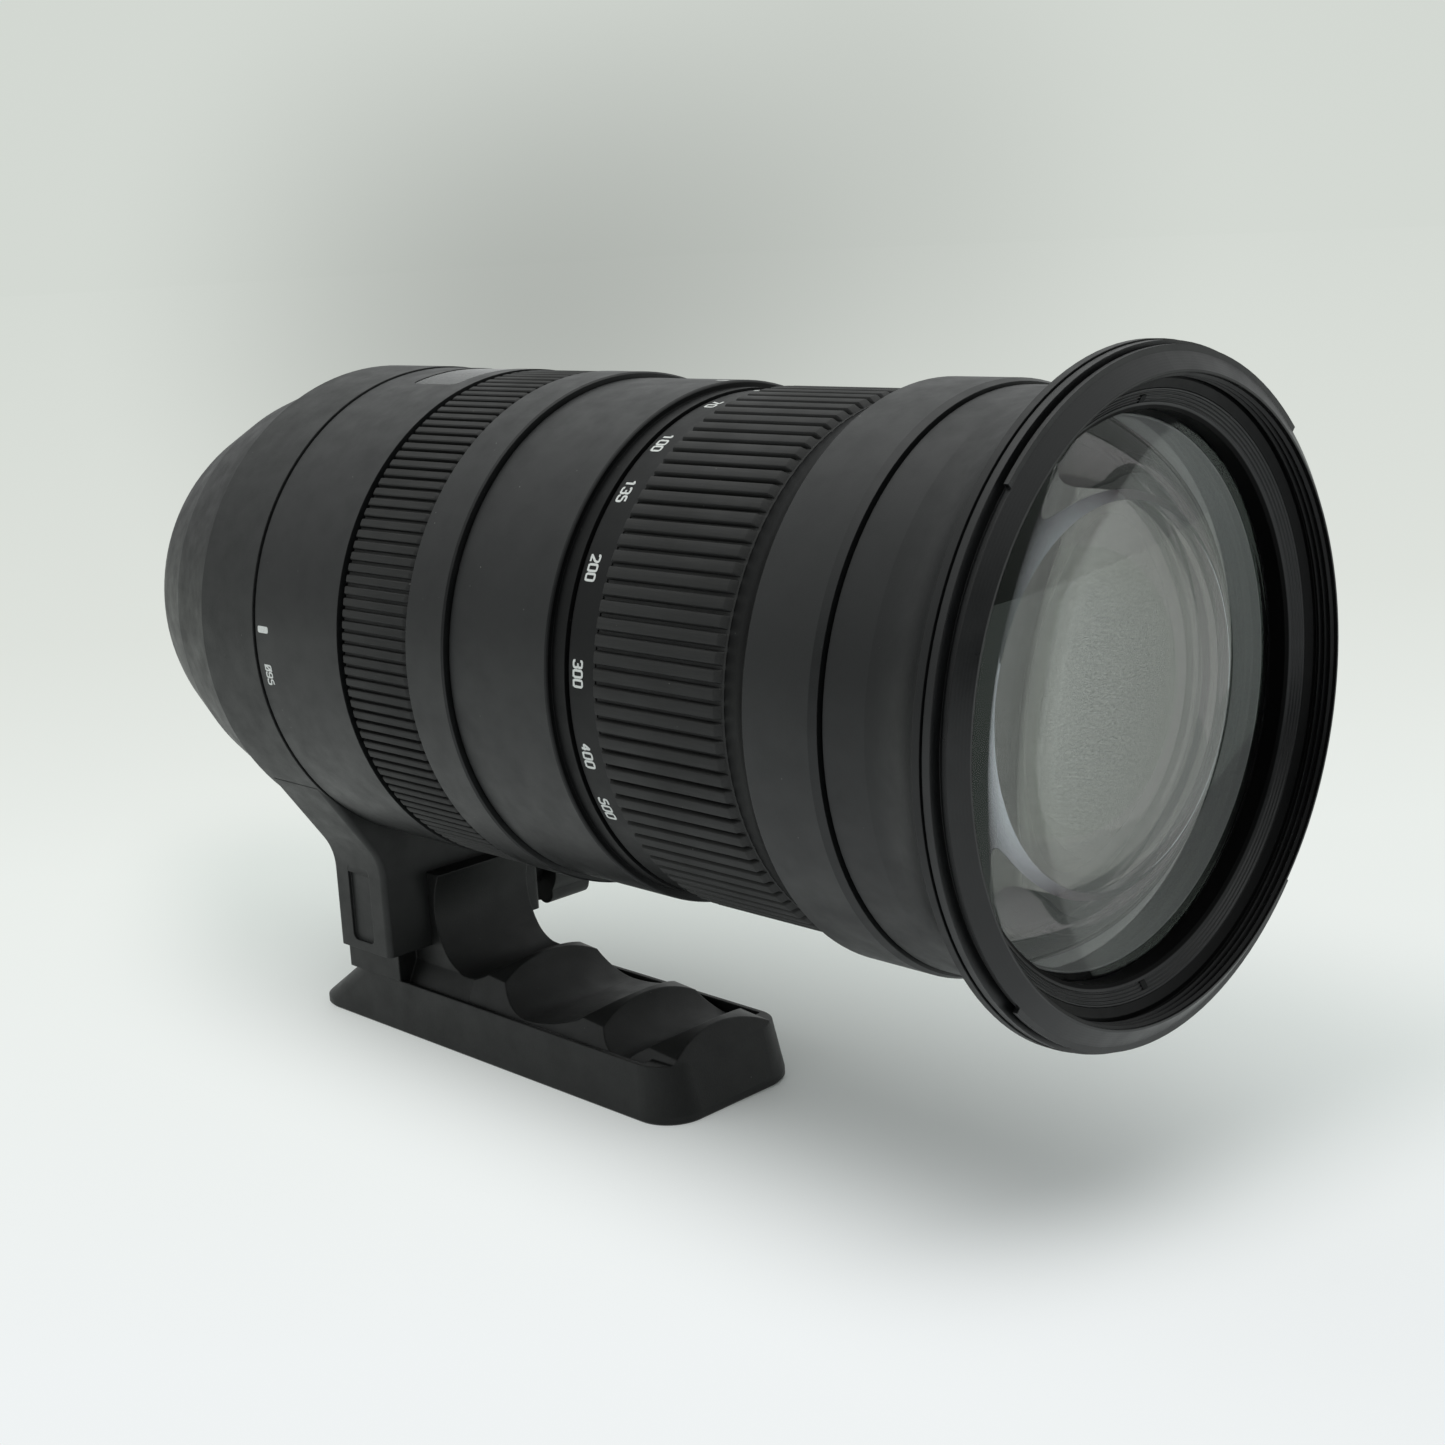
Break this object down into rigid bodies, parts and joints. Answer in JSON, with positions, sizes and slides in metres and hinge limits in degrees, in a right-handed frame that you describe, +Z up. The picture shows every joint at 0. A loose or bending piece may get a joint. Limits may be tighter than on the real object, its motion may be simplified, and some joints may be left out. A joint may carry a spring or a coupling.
{
  "type": "camera zoom lens",
  "caption": "Long telephoto zoom lens with ribbed zoom and focus rings, flared front rim, tripod collar and finger-grip foot.",
  "frame": {"origin": "on the optical axis in the plane of the mount flange", "axes": "+X forwards through the front glass, +Z up away from the foot, +Y to the left of someone behind the camera"},
  "size_m": [0.2226, 0.1044, 0.1393],
  "materials": {
    "shell": "fine matte black paint",
    "collar": "fine matte black paint",
    "front_shell": "satin black",
    "grip": "ribbed black rubber",
    "mount": "turned and polished",
    "screw": "blackened",
    "contact": "gold plated",
    "inner_plastic": "flat black",
    "tube": "black anodised",
    "cam": "dark anodised",
    "roller": "turned",
    "optics": "coated glass",
    "window": "clear cover",
    "blade": "matte black",
    "felt": "felt",
    "board": "circuit board",
    "stator": "bare metal",
    "switch": "moulded black",
    "bush": "machined"
  },
  "bodies": {
    "collar": {"tripod_collar": "collar", "collar_liner": "felt", "tripod_foot": "collar", "foot_screws": "screw", "tripod_bush": "bush"},
    "lock_knob": {"lock_knob": "inner_plastic"},
    "barrel": {"mount_plate": "mount", "mount_screws": "screw", "rear_baffle": "inner_plastic", "contact_block": "inner_plastic", "contact_pins": "contact", "rear_cover": "shell", "guide_tube": "tube", "circuit_board": "board", "motor_stator": "stator", "scale_shell": "shell", "distance_window": "window", "switch_panel": "switch", "fixed_barrel": "shell", "rear_cell": "inner_plastic", "rear_element": "optics"},
    "focus_ring": {"focus_ring": "shell", "focus_grip": "grip", "distance_drum": "cam"},
    "zoom_ring": {"zoom_ring": "shell", "zoom_grip": "grip", "cam_tube": "cam", "zoom_keys": "roller"},
    "front": {"front_barrel": "front_shell", "filter_ring": "front_shell", "retaining_ring": "inner_plastic", "front_element": "optics", "second_element": "optics", "glass_spacer": "inner_plastic", "front_cell": "inner_plastic", "extension_tube": "tube", "cam_rollers": "roller"},
    "variator": {"variator_cell": "inner_plastic", "variator_element": "optics"},
    "focusing": {"focus_cell": "inner_plastic", "focus_element": "optics"},
    "relay": {"relay_cell": "inner_plastic", "relay_element": "optics"},
    "iris_ring": {"iris_ring": "blade"},
    "stabiliser_slide": {"stabiliser_slide": "inner_plastic"},
    "stabiliser_cell": {"stabiliser_cell": "inner_plastic", "stabiliser_element": "optics"},
    "focus_switch": {"focus_switch": "switch"},
    "stabiliser_switch": {"stabiliser_switch": "switch"},
    "zoom_lock_switch": {"zoom_lock_switch": "switch"},
    "iris_blade_1": {"iris_blade_1": "blade"},
    "iris_blade_2": {"iris_blade_2": "blade"},
    "iris_blade_3": {"iris_blade_3": "blade"},
    "iris_blade_4": {"iris_blade_4": "blade"},
    "iris_blade_5": {"iris_blade_5": "blade"},
    "iris_blade_6": {"iris_blade_6": "blade"},
    "iris_blade_7": {"iris_blade_7": "blade"},
    "iris_blade_8": {"iris_blade_8": "blade"},
    "iris_blade_9": {"iris_blade_9": "blade"}
  },
  "joints": [
    {"name": "collar_turn", "type": "hinge", "parent": "collar", "child": "barrel", "pos_m": [0.0439, 0, 0], "axis": [1, 0, 0], "continuous": true},
    {"name": "knob_turn", "type": "hinge", "parent": "collar", "child": "lock_knob", "pos_m": [0.04415, 0.017, -0.061], "axis": [0, 1, 0], "range_deg": [0, 360]},
    {"name": "zoom_turn", "type": "hinge", "parent": "barrel", "child": "zoom_ring", "pos_m": [0.1366, 0, 0], "axis": [-1, 0, 0], "range_deg": [0, 116]},
    {"name": "focus_turn", "type": "hinge", "parent": "barrel", "child": "focus_ring", "pos_m": [0.0791, 0, 0], "axis": [1, 0, 0], "range_deg": [0, 115]},
    {"name": "front_slide", "type": "slide", "parent": "barrel", "child": "front", "axis": [1, 0, 0], "range_m": [0, 0.088]},
    {"name": "variator_slide", "type": "slide", "parent": "barrel", "child": "variator", "axis": [-1, 0, 0], "range_m": [0, 0.018]},
    {"name": "relay_slide", "type": "slide", "parent": "barrel", "child": "relay", "axis": [1, 0, 0], "range_m": [0, 0.026]},
    {"name": "focusing_slide", "type": "slide", "parent": "variator", "child": "focusing", "axis": [1, 0, 0], "range_m": [0, 0.01]},
    {"name": "iris_turn", "type": "hinge", "parent": "relay", "child": "iris_ring", "pos_m": [0.082, 0, 0], "axis": [1, 0, 0], "range_deg": [0, 3.85]},
    {"name": "iris_blade_1_turn", "type": "hinge", "parent": "relay", "child": "iris_blade_1", "pos_m": [0.082, 0.0275, 0], "axis": [1, 0, 0], "range_deg": [0, 32]},
    {"name": "iris_blade_2_turn", "type": "hinge", "parent": "relay", "child": "iris_blade_2", "pos_m": [0.082, 0.02107, 0.01768], "axis": [1, 0, 0], "range_deg": [0, 32]},
    {"name": "iris_blade_3_turn", "type": "hinge", "parent": "relay", "child": "iris_blade_3", "pos_m": [0.082, 0.00477, 0.02708], "axis": [1, 0, 0], "range_deg": [0, 32]},
    {"name": "iris_blade_4_turn", "type": "hinge", "parent": "relay", "child": "iris_blade_4", "pos_m": [0.082, -0.01375, 0.02382], "axis": [1, 0, 0], "range_deg": [0, 32]},
    {"name": "iris_blade_5_turn", "type": "hinge", "parent": "relay", "child": "iris_blade_5", "pos_m": [0.082, -0.02584, 0.00941], "axis": [1, 0, 0], "range_deg": [0, 32]},
    {"name": "iris_blade_6_turn", "type": "hinge", "parent": "relay", "child": "iris_blade_6", "pos_m": [0.082, -0.02584, -0.00941], "axis": [1, 0, 0], "range_deg": [0, 32]},
    {"name": "iris_blade_7_turn", "type": "hinge", "parent": "relay", "child": "iris_blade_7", "pos_m": [0.082, -0.01375, -0.02382], "axis": [1, 0, 0], "range_deg": [0, 32]},
    {"name": "iris_blade_8_turn", "type": "hinge", "parent": "relay", "child": "iris_blade_8", "pos_m": [0.082, 0.00477, -0.02708], "axis": [1, 0, 0], "range_deg": [0, 32]},
    {"name": "iris_blade_9_turn", "type": "hinge", "parent": "relay", "child": "iris_blade_9", "pos_m": [0.082, 0.02107, -0.01768], "axis": [1, 0, 0], "range_deg": [0, 32]},
    {"name": "stabiliser_sideways", "type": "slide", "parent": "barrel", "child": "stabiliser_slide", "axis": [0, 1, 0], "range_m": [-0.0012, 0.0012]},
    {"name": "stabiliser_upright", "type": "slide", "parent": "stabiliser_slide", "child": "stabiliser_cell", "axis": [0, 0, 1], "range_m": [-0.0012, 0.0012]},
    {"name": "focus_switch_slide", "type": "slide", "parent": "barrel", "child": "focus_switch", "axis": [1, 0, 0], "range_m": [0, 0.0038]},
    {"name": "stabiliser_switch_slide", "type": "slide", "parent": "barrel", "child": "stabiliser_switch", "axis": [1, 0, 0], "range_m": [-0.0019, 0.0019]},
    {"name": "zoom_lock_slide", "type": "slide", "parent": "barrel", "child": "zoom_lock_switch", "axis": [1, 0, 0], "range_m": [0, 0.0038]}
  ],
  "couplings": [
    {"joint": "front_slide", "follows": "zoom_turn", "m_per_rad": 0.043465},
    {"joint": "variator_slide", "follows": "zoom_turn", "m_per_rad": 0.00889},
    {"joint": "relay_slide", "follows": "zoom_turn", "m_per_rad": 0.012842},
    {"joint": "focusing_slide", "follows": "focus_turn", "m_per_rad": 0.004982},
    {"joint": "iris_blade_1_turn", "follows": "iris_turn", "ratio": 8.3095},
    {"joint": "iris_blade_2_turn", "follows": "iris_turn", "ratio": 8.3095},
    {"joint": "iris_blade_3_turn", "follows": "iris_turn", "ratio": 8.3095},
    {"joint": "iris_blade_4_turn", "follows": "iris_turn", "ratio": 8.3095},
    {"joint": "iris_blade_5_turn", "follows": "iris_turn", "ratio": 8.3095},
    {"joint": "iris_blade_6_turn", "follows": "iris_turn", "ratio": 8.3095},
    {"joint": "iris_blade_7_turn", "follows": "iris_turn", "ratio": 8.3095},
    {"joint": "iris_blade_8_turn", "follows": "iris_turn", "ratio": 8.3095},
    {"joint": "iris_blade_9_turn", "follows": "iris_turn", "ratio": 8.3095}
  ]
}
